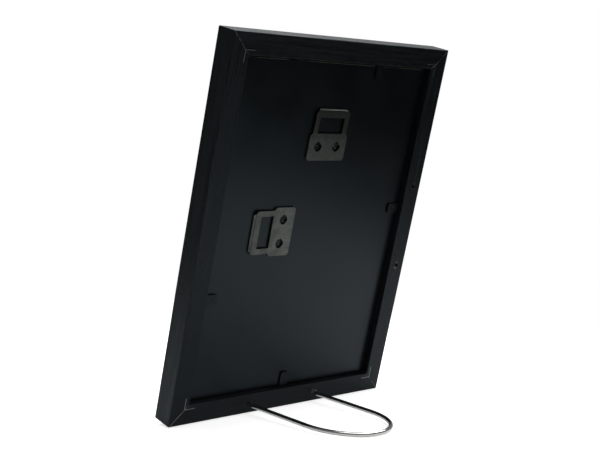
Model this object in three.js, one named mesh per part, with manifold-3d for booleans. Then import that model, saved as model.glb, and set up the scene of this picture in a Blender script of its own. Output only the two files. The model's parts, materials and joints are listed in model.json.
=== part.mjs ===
// Wooden picture frame for a 21 x 30 cm picture, standing on a bent wire stand.
//
// The pieces are laid out in the frame's own upright axes, and the whole is then leaned back.
// Upright axes: x across, to the right as seen from the front; y out of the back; z up.
// The back face is y = 0, the front face is y = -DEPTH, and the bottom edge is z = 0.
// Left and right are as seen from the front. All sizes are in millimetres.

import * as THREE from 'three';
import Module from 'manifold-3d';
import { mergeVertices } from 'three/addons/utils/BufferGeometryUtils.js';

// Frame rails
const WIDTH = 250;
const HEIGHT = 336;
const DEPTH = 20.5;
const RAIL_BACK = 18.2;            // rail width on the back, outside the rebate
const RAIL_FRONT = 24;             // rail width on the front, with the lip over the picture
const LIP_INNER = 13.2;            // depth of the rebate, from the back face to the lip
const LIP_BEVEL = 1.5;             // bevel on the lip's front inner edge
const MITRE_GAP = 0.3;
const LEAN = THREE.MathUtils.degToRad(13.8);

// Picture pack, held in the rebate
const FIT = 0.3;                   // gap between neighbouring pieces
const EDGE_PLAY = 1;               // play beside the sheets; they sink to the bottom of the rebate
const BOARD_DEPTH = 6;             // from the back face to the backboard
const BOARD_THICK = 3;
const PRINT_THICK = 0.4;
const MAT_THICK = 1.4;
const MAT_BORDER = 30;             // width of card left around the mat's window
const GLAZING_THICK = 1.2;

// Corner nails: bent steel strips pressed into both rails across each mitre
const NAIL_APEX = 14.2;            // from each outer edge to the bend
const NAIL_LEG = 10.5;
const NAIL_THICK = 0.6;
const NAIL_DEEP = 8;
const NAIL_SUNK = 0.2;

// Retaining tabs: thin steel strips, set in the rebate wall, that bend up to free the backboard
const TAB_WIDTH = 9;
const TAB_REACH = 14;              // from the wall to the tip
const TAB_ROOT = 0.5;              // length inside the rail
const TAB_THICK = 0.6;
const TAB_LIFT = 0.8;              // height over the backboard
const TAB_PIVOT = 0.4;             // from the wall to the bending line
const TAB_ROUND = 1.5;

// Hanger plates: stamped steel, the fixing end flat, the window end raised, with a bent flange
const PLATE_LENGTH = 45.5;
const PLATE_WIDE = 43.5;           // at the fixing end
const PLATE_NARROW = 38.5;         // at the window end
const PLATE_THICK = 1.1;
const PLATE_GAP = 0.6;             // from the board to the fixing end
const PLATE_RAISE = 1.1;           // rise of the window end over the fixing end
const PLATE_STEP = 21.5;           // from the fixing end to where the plate starts to rise
const FIXING_CHAMFER = 2;
const WINDOW_CHAMFER = 3.5;
const FLANGE = 1.3;                // the window end's edge, bent towards the board
const FLANGE_DROP = 1.5;
const WINDOW_WIDTH = 28.6;
const WINDOW_HEIGHT = 14;
const WINDOW_BAR = 7.6;            // width of the bar that a wall screw hooks under
const CLAW_SPACING = 21.4;
const CLAW_FROM_END = 12.2;
const CLAW_HOLE = 8.2;             // across the flats of the four-sided hole that the claws leave
const CLAW_ROUND = 3;
const CLAW_BASE = 3.6;
const CLAW_TIP = 1.2;
const CLAW_THICK = 0.7;
const CLAW_OVERLAP = 0.3;          // how far a claw's root runs under the plate's edge
const CLAW_DEEP = 2.2;             // how far the claws reach into the board
const PORTRAIT_PLATE_HEIGHT = 253.8;
const LANDSCAPE_PLATE_SHIFT = 45.2;

// Wire stand
const WIRE_RADIUS = 2;
const WIRE_SPREAD = 39;            // from the middle to each leg
const WIRE_REACH = 123.5;          // from the back face to the middle of the bend
const WIRE_BEND = 47.5;            // length of the bend, half an ellipse, along the legs
const WIRE_DEEP = 14;              // length of each leg inside the rail
const WIRE_SIDES = 12;
const WIRE_STEPS = 72;
const HOLE_HEIGHT = 8.2;           // from the outer edge of a rail to its stand holes
const HOLE_RADIUS = WIRE_RADIUS + FIT;
const HOLE_SIDES = 16;

// The wire rests on the table at its bend, so it slopes down from the holes by this angle.
const WIRE_DROP = Math.asin((HOLE_HEIGHT * Math.cos(LEAN) - WIRE_RADIUS) / WIRE_REACH);
const WIRE_TILT = LEAN - WIRE_DROP; // up from the square to the back face

const CUT = 1;                     // how far a cutter runs past the face that it cuts

// The four sides. Each has its own axes: x along it from its middle, y out of the back, z in from
// its outer edge. The turn is about y. The nail is the one at the end where x is lowest.
const SIDES = [
  { name: 'bottom', length: WIDTH, turn: 0, x: 0, z: 0,
    tabAt: -2, standHoles: true, nail: 'bottom_left' },
  { name: 'right', length: HEIGHT, turn: -Math.PI / 2, x: WIDTH / 2, z: HEIGHT / 2,
    tabAt: -57, standHoles: false, nail: 'bottom_right' },
  { name: 'top', length: WIDTH, turn: Math.PI, x: 0, z: HEIGHT,
    tabAt: 46.5, standHoles: false, nail: 'top_right' },
  { name: 'left', length: HEIGHT, turn: Math.PI / 2, x: -WIDTH / 2, z: HEIGHT / 2,
    tabAt: -17, standHoles: true, nail: 'top_left' },
];

const FINISHES = {
  rail: { color: 0x17191b, roughness: 0.5, metalness: 0 },
  board: { color: 0x14181b, roughness: 0.4, metalness: 0 },
  steel: { color: 0x8a8a84, roughness: 0.4, metalness: 1 },
  lacquered: { color: 0x0c0d0e, roughness: 0.4, metalness: 0.5 },
  chrome: { color: 0xdadbdc, roughness: 0.08, metalness: 1 },
  acrylic: { color: 0xe8eef0, roughness: 0.05, metalness: 0, transparent: true, opacity: 0.25 },
  card: { color: 0xefece4, roughness: 0.9, metalness: 0 },
  paper: { color: 0xb9b4a6, roughness: 0.8, metalness: 0 },
};

const wasm = await Module();
wasm.setup();

// ---- shared helpers ----

function solidOf(geometry, placement = new THREE.Matrix4()) {
  const bare = geometry.clone().applyMatrix4(placement);
  bare.deleteAttribute('normal');
  bare.deleteAttribute('uv');
  const merged = mergeVertices(bare, 1e-4);
  const vertProperties = new Float32Array(merged.attributes.position.array);
  const triVerts = new Uint32Array(merged.index.array);
  return new wasm.Manifold(new wasm.Mesh({ numProp: 3, vertProperties, triVerts }));
}

function geometryOf(solid) {
  const { vertProperties, triVerts } = solid.getMesh();
  const geometry = new THREE.BufferGeometry();
  geometry.setAttribute('position', new THREE.BufferAttribute(vertProperties, 3));
  geometry.setIndex(new THREE.BufferAttribute(triVerts, 1));
  geometry.computeVertexNormals();
  return geometry;
}

function piece(name, geometry, finish) {
  const mesh = new THREE.Mesh(geometry, new THREE.MeshStandardMaterial(FINISHES[finish]));
  mesh.name = name;
  return mesh;
}

function polygon(points) {
  return new THREE.Shape(points.map(([a, b]) => new THREE.Vector2(a, b)));
}

function extrude(shape, depth) {
  return new THREE.ExtrudeGeometry(shape, { depth, bevelEnabled: false, curveSegments: 5 });
}

// A prism whose section is drawn in x and z, from y = top down to y = top - depth.
function prismInward(shape, depth, top = 0) {
  const geometry = extrude(shape, depth);
  geometry.rotateX(Math.PI / 2);
  geometry.translate(0, top, 0);
  return geometry;
}

// A prism whose section is drawn in y and z, running the given length about x = 0.
function prismAcross(shape, length) {
  const axes = new THREE.Matrix4().makeBasis(
    new THREE.Vector3(0, 1, 0), new THREE.Vector3(0, 0, 1), new THREE.Vector3(1, 0, 0),
  );
  return extrude(shape, length).applyMatrix4(axes).translate(-length / 2, 0, 0);
}

// A block between two corners.
function block(low, high) {
  const [width, depth, height] = high.map((value, axis) => value - low[axis]);
  const geometry = new THREE.BoxGeometry(width, depth, height);
  return geometry.translate(low[0] + width / 2, low[1] + depth / 2, low[2] + height / 2);
}

function roundedSquare(side, radius) {
  const inner = side / 2 - radius;
  const shape = new THREE.Shape();
  shape.absarc(inner, inner, radius, 0, 0.5 * Math.PI);
  shape.absarc(-inner, inner, radius, 0.5 * Math.PI, Math.PI);
  shape.absarc(-inner, -inner, radius, Math.PI, 1.5 * Math.PI);
  shape.absarc(inner, -inner, radius, 1.5 * Math.PI, 2 * Math.PI);
  return shape;
}

// ---- rails, in a side's own axes ----

function mitredBar(length) {
  const half = length / 2 - MITRE_GAP / Math.SQRT2;
  const outline = polygon([
    [-half, 0], [half, 0], [half - RAIL_FRONT, RAIL_FRONT], [-half + RAIL_FRONT, RAIL_FRONT],
  ]);
  const rebate = block([-length, -LIP_INNER, RAIL_BACK], [length, CUT, RAIL_FRONT + CUT]);
  const bevel = polygon([
    [-DEPTH - CUT, RAIL_FRONT - LIP_BEVEL - CUT],
    [-DEPTH + LIP_BEVEL + CUT, RAIL_FRONT + CUT],
    [-DEPTH - CUT, RAIL_FRONT + CUT],
  ]);
  return solidOf(prismInward(outline, DEPTH))
    .subtract(solidOf(rebate))
    .subtract(solidOf(prismAcross(bevel, length)));
}

// A hole drilled at the wire's slope.
function standHole(x) {
  const length = WIRE_DEEP + FIT + CUT;
  const drill = new THREE.CylinderGeometry(HOLE_RADIUS, HOLE_RADIUS, length, HOLE_SIDES);
  drill.translate(0, CUT - length / 2, 0);
  drill.rotateX(WIRE_TILT);
  drill.translate(x, 0, HOLE_HEIGHT);
  return solidOf(drill);
}

const tabLevel = -BOARD_DEPTH + TAB_LIFT + TAB_THICK / 2;

// The slot for a tab's root, with room for the root to swing as the tab bends.
function tabSlot(x) {
  const half = TAB_WIDTH / 2 + FIT;
  const deep = TAB_ROOT + FIT;
  const low = tabLevel - TAB_PIVOT - deep;
  const high = tabLevel + TAB_THICK / 2 + FIT;
  return solidOf(block([x - half, low, RAIL_BACK - deep], [x + half, high, RAIL_BACK + CUT]));
}

// A corner nail with its bend at the origin and its legs along x and z.
function cornerNail(grow, top) {
  const low = -NAIL_THICK / 2 - grow;
  const high = NAIL_THICK / 2 + grow;
  const end = NAIL_LEG + grow;
  const section = polygon([
    [low, low], [end, low], [end, high], [high, high], [high, end], [low, end],
  ]);
  return prismInward(section, top + NAIL_DEEP + grow, top);
}

function nailSlots(length) {
  const offset = length / 2 - NAIL_APEX;
  const nearEnd = cornerNail(FIT, CUT).translate(-offset, 0, NAIL_APEX);
  const farEnd = cornerNail(FIT, CUT).rotateY(-Math.PI / 2).translate(offset, 0, NAIL_APEX);
  return [solidOf(nearEnd), solidOf(farEnd)];
}

function rail(side) {
  const cutters = [tabSlot(side.tabAt), ...nailSlots(side.length)];
  if (side.standHoles) {
    cutters.push(standHole(-WIRE_SPREAD), standHole(WIRE_SPREAD));
  }
  const solid = cutters.reduce((bar, cutter) => bar.subtract(cutter), mitredBar(side.length));
  return piece(`rail_${side.name}`, geometryOf(solid), 'rail');
}

function nail(side) {
  const mesh = piece(`corner_nail_${side.nail}`, cornerNail(0, -NAIL_SUNK), 'steel');
  mesh.position.set(-side.length / 2 + NAIL_APEX, 0, NAIL_APEX);
  return mesh;
}

function tab(side) {
  const half = TAB_WIDTH / 2;
  const tip = TAB_REACH - TAB_ROUND;
  const outline = new THREE.Shape();
  outline.moveTo(-half, -TAB_ROOT);
  outline.lineTo(half, -TAB_ROOT);
  outline.absarc(half - TAB_ROUND, tip, TAB_ROUND, 0, 0.5 * Math.PI);
  outline.absarc(-half + TAB_ROUND, tip, TAB_ROUND, 0.5 * Math.PI, Math.PI);
  const mesh = piece(`tab_${side.name}`, prismInward(outline, TAB_THICK), 'lacquered');
  mesh.position.set(side.tabAt, tabLevel + TAB_THICK / 2, RAIL_BACK);
  return mesh;
}

// ---- picture pack ----

// One of the flat sheets that fill the rebate, lying between two depths.
function sheet(top, thick) {
  const half = WIDTH / 2 - RAIL_BACK - EDGE_PLAY;
  const low = RAIL_BACK + FIT;
  const high = HEIGHT - RAIL_BACK - 2 * EDGE_PLAY + FIT;
  return block([-half, top - thick, low], [half, top, high]);
}

function matCard(top) {
  const border = RAIL_BACK + EDGE_PLAY + MAT_BORDER;
  const half = WIDTH / 2 - border;
  const window = block([-half, top - MAT_THICK - CUT, border], [half, top + CUT, HEIGHT - border]);
  return geometryOf(solidOf(sheet(top, MAT_THICK)).subtract(solidOf(window)));
}

// ---- hanger plates, in their own axes: z from the middle towards the window end, y out from the
// board's surface ----

// A claw bent down from one flat of its hole, facing z.
function claw(grow) {
  const base = CLAW_BASE / 2 + grow;
  const tip = CLAW_TIP / 2 + grow;
  const root = PLATE_GAP + PLATE_THICK / 2;
  const low = -CLAW_DEEP - grow;
  const section = polygon([[-base, root], [-tip, low], [tip, low], [base, root]]);
  const start = CLAW_HOLE / 2 + CLAW_OVERLAP - CLAW_THICK - grow;
  return extrude(section, CLAW_THICK + 2 * grow).translate(0, 0, start);
}

// The eight claws of a plate, grown by a gap where they are used to cut the board.
function clawRing(grow) {
  const claws = [];
  for (const x of [-CLAW_SPACING / 2, CLAW_SPACING / 2]) {
    for (let flat = 0; flat < 4; flat += 1) {
      const turned = claw(grow).rotateY((flat + 0.5) * Math.PI / 2);
      claws.push(turned.translate(x, 0, CLAW_FROM_END - PLATE_LENGTH / 2));
    }
  }
  return claws;
}

// The plate seen from its edge: flat, then rising, with its window end bent back as a flange.
function plateProfile() {
  const start = -PLATE_LENGTH / 2;
  const end = PLATE_LENGTH / 2;
  const raised = PLATE_GAP + PLATE_RAISE;
  const under = [
    [PLATE_GAP, start], [PLATE_GAP, start + PLATE_STEP],
    [raised, end - FLANGE], [raised - FLANGE_DROP, end],
  ];
  const over = under.map(([y, z]) => [y + PLATE_THICK, z]).reverse();
  return polygon([...under, ...over]);
}

function plateOutline() {
  const wide = PLATE_WIDE / 2;
  const narrow = PLATE_NARROW / 2;
  const start = -PLATE_LENGTH / 2;
  const end = PLATE_LENGTH / 2;
  const step = start + PLATE_STEP;
  const half = [
    [wide - FIXING_CHAMFER, start], [wide, start + FIXING_CHAMFER],
    [wide, step], [narrow, step + wide - narrow],
    [narrow, end - WINDOW_CHAMFER], [narrow - WINDOW_CHAMFER, end],
  ];
  const mirrored = half.map(([x, z]) => [-x, z]).reverse();
  const outline = polygon([...half, ...mirrored]);
  const windowEnd = end - WINDOW_BAR;
  const windowStart = windowEnd - WINDOW_HEIGHT;
  outline.holes.push(polygon([
    [-WINDOW_WIDTH / 2, windowStart], [-WINDOW_WIDTH / 2, windowEnd],
    [WINDOW_WIDTH / 2, windowEnd], [WINDOW_WIDTH / 2, windowStart],
  ]));
  return outline;
}

function hangerPlate() {
  const top = PLATE_GAP + PLATE_THICK + PLATE_RAISE + CUT;
  const blank = solidOf(prismAcross(plateProfile(), PLATE_WIDE + 2 * CUT));
  let plate = blank.intersect(solidOf(prismInward(plateOutline(), top + CUT, top)));
  for (const x of [-CLAW_SPACING / 2, CLAW_SPACING / 2]) {
    const hole = prismInward(roundedSquare(CLAW_HOLE, CLAW_ROUND), top + CUT, top);
    hole.rotateY(Math.PI / 4).translate(x, 0, CLAW_FROM_END - PLATE_LENGTH / 2);
    plate = plate.subtract(solidOf(hole));
  }
  return clawRing(0).reduce((solid, prong) => solid.add(solidOf(prong)), plate);
}

const PLATES = [
  { name: 'portrait', turn: 0, x: 0, z: PORTRAIT_PLATE_HEIGHT },
  { name: 'landscape', turn: Math.PI / 2, x: LANDSCAPE_PLATE_SHIFT, z: HEIGHT / 2 },
];

function plateOn(plate) {
  const mesh = piece(`hanger_plate_${plate.name}`, geometryOf(hangerPlate()), 'steel');
  mesh.position.set(plate.x, -BOARD_DEPTH, plate.z);
  mesh.rotation.y = plate.turn;
  return mesh;
}

function backboard() {
  let board = solidOf(sheet(-BOARD_DEPTH, BOARD_THICK));
  for (const { turn, x, z } of PLATES) {
    for (const slot of clawRing(FIT)) {
      slot.rotateY(turn).translate(x, -BOARD_DEPTH, z);
      board = board.subtract(solidOf(slot));
    }
  }
  return piece('backboard', geometryOf(board), 'board');
}

// ---- wire stand, in its own axes: x across, y along the legs out of the holes ----

class WireLine extends THREE.Curve {
  // t runs from 0 to 1: a leg in the first third, the bend in the second, a leg in the last.
  getPoint(t, target = new THREE.Vector3()) {
    const straight = WIRE_REACH - WIRE_BEND;
    const handed = t < 0.5 ? -1 : 1;
    const fromEnd = 3 * Math.min(t, 1 - t);
    if (fromEnd < 1) {
      const out = THREE.MathUtils.lerp(-WIRE_DEEP, straight, fromEnd);
      return target.set(handed * WIRE_SPREAD, out, 0);
    }
    const angle = (fromEnd - 1) * Math.PI;
    return target.set(
      handed * WIRE_SPREAD * Math.cos(angle), straight + WIRE_BEND * Math.sin(angle), 0,
    );
  }
}

function standWire() {
  const section = new THREE.Shape();
  section.absarc(0, 0, WIRE_RADIUS, 0, 2 * Math.PI);
  const geometry = new THREE.ExtrudeGeometry(section, {
    extrudePath: new WireLine(), steps: WIRE_STEPS, curveSegments: WIRE_SIDES / 2,
  });
  const mesh = piece('stand_wire', geometry, 'chrome');
  mesh.position.z = HOLE_HEIGHT;
  mesh.rotation.x = WIRE_TILT;
  return mesh;
}

// ---- assembly ----

const upright = new THREE.Group();

for (const side of SIDES) {
  const group = new THREE.Group();
  group.add(rail(side), nail(side), tab(side));
  group.position.set(side.x, 0, side.z);
  group.rotation.y = side.turn;
  upright.add(group);
}

const printTop = -BOARD_DEPTH - BOARD_THICK - FIT;
const matTop = printTop - PRINT_THICK - FIT;
const glazingTop = matTop - MAT_THICK - FIT;
upright.add(
  backboard(),
  piece('print', sheet(printTop, PRINT_THICK), 'paper'),
  piece('mat', matCard(matTop), 'card'),
  piece('glazing', sheet(glazingTop, GLAZING_THICK), 'acrylic'),
  ...PLATES.map(plateOn),
  standWire(),
);

// Leaned back on its bottom back edge, with the middle of its outline over the origin.
const frontReach = -DEPTH * Math.cos(LEAN);
const backReach = HOLE_HEIGHT * Math.sin(LEAN) + WIRE_REACH * Math.cos(WIRE_DROP) + WIRE_RADIUS;
upright.rotation.x = -LEAN;
upright.position.y = -(frontReach + backReach) / 2;

const frame = new THREE.Group();
frame.add(upright);

export default frame;
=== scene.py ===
"""Black wooden picture frame, seen from behind on its wire stand.

The pieces are drawn in millimetres in the frame's own upright axes, as the design is: x across,
to the right as seen from the front; y out of the back; z up; the back face at y = 0 and the bottom
edge at z = 0. PLACE then leans them back and puts them where the design stands.
"""

import json
import math

import bmesh
import bpy
from mathutils import Matrix, Vector


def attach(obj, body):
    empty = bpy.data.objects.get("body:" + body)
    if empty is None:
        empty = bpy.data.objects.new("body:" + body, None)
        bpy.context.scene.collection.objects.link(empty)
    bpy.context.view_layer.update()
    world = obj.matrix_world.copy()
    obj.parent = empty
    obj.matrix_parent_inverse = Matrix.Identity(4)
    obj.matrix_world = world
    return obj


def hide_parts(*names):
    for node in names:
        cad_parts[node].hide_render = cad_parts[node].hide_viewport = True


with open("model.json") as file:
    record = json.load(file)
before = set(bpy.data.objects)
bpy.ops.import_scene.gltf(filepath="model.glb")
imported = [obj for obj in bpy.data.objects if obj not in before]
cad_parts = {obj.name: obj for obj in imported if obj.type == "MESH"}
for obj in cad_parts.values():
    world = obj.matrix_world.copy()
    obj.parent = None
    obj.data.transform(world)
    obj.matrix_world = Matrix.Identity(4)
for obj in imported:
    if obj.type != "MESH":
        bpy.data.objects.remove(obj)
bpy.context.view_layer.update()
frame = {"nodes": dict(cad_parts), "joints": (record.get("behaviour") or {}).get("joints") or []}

MM = 0.001
PAST = 1.0                  # how far a cutter reaches past what it cuts

# Rails
RAIL_BACK = 18.2            # width on the back, outside the rebate
RAIL_FRONT = 24.0           # width on the front, with the lip over the picture
LIP_INNER = 13.2            # depth of the rebate
LIP_BEVEL = 1.5
MITRE_GAP = 0.3
OUTER_ARRIS = 0.8           # rounding of the outer edges
INNER_ARRIS = 0.35
REBATE_ROUND = 0.2
BEVEL_ROUND = 0.3
ARC_STEPS = 4
SUPPORT = 0.15              # flat strip kept beside each rounding, so that flat faces shade flat
MITRE_CHIPS = {             # paint chipped off along each mitre, at its outer and inner ends
    "bottom_right": (0.26, 0.26),
    "top_right": (0.01, 0.20),
    "bottom_left": (0.09, 0.09),
    "top_left": (0.09, 0.09),
}

# Corner nails
NAIL_APEX = 14.2
NAIL_LEG = 10.5
NAIL_THICK = 0.55
NAIL_DEEP = 8.0
NAIL_SUNK = 0.05
NAIL_BEND = 0.7             # radius of the bend between the legs
NAIL_SLOT_GAP = 0.04

# Tabs
TAB_WIDTH = 9.0
TAB_REACH = 14.0
TAB_ROOT = 0.5
TAB_THICK = 0.6
TAB_ROUND = 1.5
TAB_PIVOT = 0.4             # from the wall to the bending line
TAB_SLOT_GAP = 0.3
TAB_DIMPLE = 1.1            # radius of the pressed dimple
TAB_DIMPLE_AT = 8.0         # from the wall to the dimple
TAB_DIMPLE_DEPTH = 0.6
TAB_LIFT = 0.35             # how far the tip curls up
TAB_EDGE = 0.08

# Hanger plates
PLATE_LENGTH = 45.5
PLATE_WIDE = 43.5
PLATE_NARROW = 38.5
PLATE_THICK = 1.1
PLATE_GAP = 0.6
PLATE_RAISE = 1.1
PLATE_STEP = 21.5
FIXING_CHAMFER = 2.0
WINDOW_CHAMFER = 3.5
FLANGE = 1.3
FLANGE_DROP = 1.5
FLANGE_TIP = 0.25           # rounding of the flange's outer edge
WINDOW_WIDTH = 28.6
WINDOW_HEIGHT = 14.0
WINDOW_BAR = 7.6
CLAW_SPACING = 21.4
CLAW_FROM_END = 12.2
CLAW_HOLE = 8.2
CLAW_ROUND = 3.6
CLAW_OVERLAP = 0.7          # how much wider the ring of claws is than its hole
CLAW_SUNK = 0.03            # below the plate's face
CLAW_BASE = 2.8
CLAW_TIP = 1.1
CLAW_SHOULDER = 0.8
CLAW_LENGTH = 3.9
CLAW_THICK = 0.7
FIXING_ROUND = 0.6
WINDOW_ROUND = 1.2
STEP_ROUND = 0.5
STEP_EASE = 20              # radius of the plate's gentle rise
FOLD_INSIDE = 0.3
FOLD_OUTSIDE = 0.7
PLATE_EDGE = 0.20           # rounding left on the stamped edges
SHADE_START = 4           # from the beginning of the painted shade to the plate's step
BURRS = {"Radius": 1.7, "Scatter": 2.0, "Length": 2.2, "Breadth": 1.4, "Rise": 1.0, "Count": 9}
BURR_RAISE = 0.1

# Wire stand
WIRE_RADIUS = 1.98
WIRE_TIP = 1.38             # radius of the flat on the wire's chamfered ends
WIRE_SPREAD = 39.0
WIRE_REACH = 123.5
WIRE_BEND = 47.5
WIRE_DEEP = 14.0
WIRE_SIDES = 32
WIRE_STEPS = 260
HOLE_HEIGHT = 8.2
HOLE_RADIUS = 2.3
HOLE_SIDES = 40
HOLE_SPARE = 0.3            # room left past the wire's end
HOLE_MOUTH = ((1.0, 1.75), (0.12, 1.5), (-0.18, 1.16), (-0.55, 1.0))   # height, flare
TORN_BANDS = 2              # bands of the mouth that are torn wood
STAND_HOLES = {             # seed; crumbs' ring as a share of the hole's radius; count of crumbs
    "bottom": (6, 1.25, 5),
    "left": (4, 0.95, 7),
}
CRUMBS = {"Scatter": 0.6, "Length": 1.0, "Breadth": 0.6, "Rise": 0.25}
CRUMB_SUNK = 0.05

# Picture pack
BOARD_ARRIS = 0.7
GLAZING_ARRIS = 0.25
PAPER_ARRIS = 0.05
MAT_WINDOW = 49.2           # from the frame's outer edges to the mat's window
MAT_CUT_SLOPE = 1.0         # the mat's window is cut at 45 degrees


# ---- Where the design stands ----

def joint(name):
    """The design's own entry for a joint."""
    return next(entry for entry in frame["joints"] if entry["name"] == name)


UPRIGHT = Vector(joint("tab_left_bend")["axis"])
LEAN = math.atan2(UPRIGHT.y, UPRIGHT.z)
STAND_AXIS = Vector(joint("stand_wire_slide")["axis"])
WIRE_TILT = LEAN + math.atan2(STAND_AXIS.z, STAND_AXIS.y)


def unleaned_box(*names):
    """Lowest and highest corners of some nodes with the lean taken off, in metres."""
    turn = Matrix.Rotation(LEAN, 3, "X")
    points = [turn @ v.co for name in names for v in frame["nodes"][name].data.vertices]
    return [Vector([pick(p[axis] for p in points) for axis in range(3)]) for pick in (min, max)]


SIDE_NAMES = ("bottom", "right", "top", "left")
rails_low, rails_high = unleaned_box(*[f"rail_{name}" for name in SIDE_NAMES])
WIDTH, DEPTH, HEIGHT = (rails_high - rails_low) / MM
ORIGIN = Vector((0, rails_high.y, rails_low.z))
PLACE = Matrix.Rotation(-LEAN, 4, "X") @ Matrix.Translation(ORIGIN) @ Matrix.Scale(MM, 4)


def design_box(name):
    """Lowest and highest corners of a node in the frame's upright axes, in millimetres."""
    return [(corner - ORIGIN) / MM for corner in unleaned_box(name)]


BOARD_TOP = design_box("backboard")[1].y

# Each side's own axes: x along it from its middle, y out of the back, z in from its outer edge.
SIDES = {
    "bottom": (WIDTH, 0, (0, 0, 0)),
    "right": (HEIGHT, -90, (WIDTH / 2, 0, HEIGHT / 2)),
    "top": (WIDTH, 180, (0, 0, HEIGHT)),
    "left": (HEIGHT, 90, (-WIDTH / 2, 0, HEIGHT / 2)),
}
SIDE_CORNERS = {            # at the ends where a side's own x is lowest and highest
    "bottom": ("bottom_left", "bottom_right"),
    "right": ("bottom_right", "top_right"),
    "top": ("top_right", "top_left"),
    "left": ("top_left", "bottom_left"),
}


def side_axes(name):
    """Turns a side's own axes into the whole frame's upright ones."""
    _, turn, middle = SIDES[name]
    return Matrix.Translation(middle) @ Matrix.Rotation(math.radians(turn), 4, "Y")


# ---- Materials ----

class Finish:
    """A procedural material, with short calls to add its nodes."""

    def __init__(self, name, **values):
        self.material = bpy.data.materials.new(name)
        self.material.use_nodes = True
        self.tree = self.material.node_tree
        self.shader = self.tree.nodes["Principled BSDF"]
        for label, value in values.items():
            self.shader.inputs[label.replace("_", " ")].default_value = value

    def add(self, kind, settings=None, **inputs):
        made = self.tree.nodes.new(f"ShaderNode{kind}")
        for label, value in (settings or {}).items():
            setattr(made, label, value)
        for label, value in inputs.items():
            self.set(made.inputs[label.replace("_", " ")], value)
        return made

    def set(self, socket, value):
        if isinstance(value, bpy.types.NodeSocket):
            self.tree.links.new(value, socket)
        else:
            socket.default_value = value

    def place(self, stretch=(1, 1, 1), turn=(0, 0, 0)):
        """Object coordinates with the lean taken off, then turned and stretched."""
        spot = self.add("TexCoord").outputs["Object"]
        level = self.add("Mapping", Vector=spot, Rotation=(LEAN, 0, 0)).outputs[0]
        return self.add("Mapping", Vector=level, Rotation=turn, Scale=stretch).outputs[0]

    def noise(self, where, scale, detail=4, roughness=0.55):
        made = self.add("TexNoise", Vector=where, Scale=scale, Detail=detail, Roughness=roughness)
        return made.outputs[0]

    def spread(self, value, low, high, to_low=0.0, to_high=1.0):
        """The value's range from low to high, stretched to a new range and held inside it."""
        made = self.add("MapRange", Value=value)
        for label, number in (("From Min", low), ("From Max", high),
                              ("To Min", to_low), ("To Max", to_high)):
            made.inputs[label].default_value = number
        return made.outputs[0]

    def mix(self, share, first, second):
        """A mix of two colours, which are the node's sockets 6 and 7."""
        made = self.add("Mix", {"data_type": "RGBA"})
        self.set(made.inputs[0], share)
        self.set(made.inputs[6], first)
        self.set(made.inputs[7], second)
        return made.outputs[2]

    def math(self, operation, first, second):
        made = self.add("Math", {"operation": operation})
        self.set(made.inputs[0], first)
        self.set(made.inputs[1], second)
        return made.outputs[0]

    def bump(self, *layers):
        """Layers of (height, distance in metres, strength), one on top of the other."""
        normal = None
        for height, distance, strength in layers:
            made = self.add("Bump", Height=height, Distance=distance, Strength=strength)
            if normal:
                self.set(made.inputs["Normal"], normal)
            normal = made.outputs[0]
        self.set(self.shader.inputs["Normal"], normal)

    def colour(self, value):
        self.set(self.shader.inputs["Base Color"], value)

    def roughness(self, value):
        self.set(self.shader.inputs["Roughness"], value)


def rgb(red, green, blue):
    """A whole colour, in linear light."""
    return (red, green, blue, 1)


COOL_SHEEN = rgb(0.66, 0.87, 1.0)
SHADE_FADE = 0.008        # metres over which a plate's painted shade begins
FOLD_SHADE = 0.0009          # metres of darker painted shade beside a plate's fold
FOLD_FADE = 0.0004          # metres over which the painted shade and its darker line end at the fold
GRAIN_ALONG_X = (30, 900, 900)
GRAIN_ALONG_Z = (900, 900, 30)


def rail_paint(name, grain, rubbed=0.0):
    """Black paint over wood grain that still shows along the rail; rubbed thin on the arrises."""
    finish = Finish(name, Specular_IOR_Level=0.225, Specular_Tint=COOL_SHEEN)
    along = finish.place(grain)
    plain = finish.place()
    fibres = finish.noise(along, 1.6, 5, 0.65)
    bands = finish.noise(along, 0.45, 4, 0.6)
    pores = finish.spread(finish.noise(along, 4.5, 3), 0.58, 0.72)
    cloud = finish.noise(plain, 28, 3)
    tone = finish.mix(finish.spread(cloud, 0.35, 0.65),
                      rgb(0.0036, 0.0046, 0.0048), rgb(0.0058, 0.0070, 0.0074))
    tone = finish.mix(finish.spread(bands, 0.46, 0.60), tone, rgb(0.0090, 0.0106, 0.0112))
    if rubbed:
        wear = finish.math("MULTIPLY", finish.spread(fibres, 0.50, 0.72), rubbed)
        tone = finish.mix(wear, tone, rgb(0.060, 0.062, 0.060))
    finish.colour(tone)
    finish.roughness(finish.spread(bands, 0.38, 0.62, 0.36, 0.56))
    finish.bump((bands, 0.00030, 0.45), (fibres, 0.00014, 0.55), (pores, 0.00010, 0.6))
    return finish.material


def raw_wood():
    """Bare wood where the paint has broken away, dusty and pale."""
    finish = Finish("raw wood", Specular_IOR_Level=0.2)
    where = finish.place()
    specks = finish.noise(where, 1500, 4, 0.7)
    patches = finish.math("MULTIPLY_ADD", finish.noise(where, 260, 2), 0.5)
    finish.set(patches.node.inputs[2], finish.math("MULTIPLY", finish.noise(where, 52, 1), 0.5))
    dusty = finish.mix(finish.spread(specks, 0.35, 0.7),
                       rgb(0.20, 0.20, 0.185), rgb(0.46, 0.46, 0.44))
    finish.colour(finish.mix(finish.spread(patches, 0.44, 0.54), dusty, rgb(0.06, 0.06, 0.056)))
    finish.roughness(0.9)
    finish.bump((specks, 0.0002, 0.8))
    return finish.material


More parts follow.
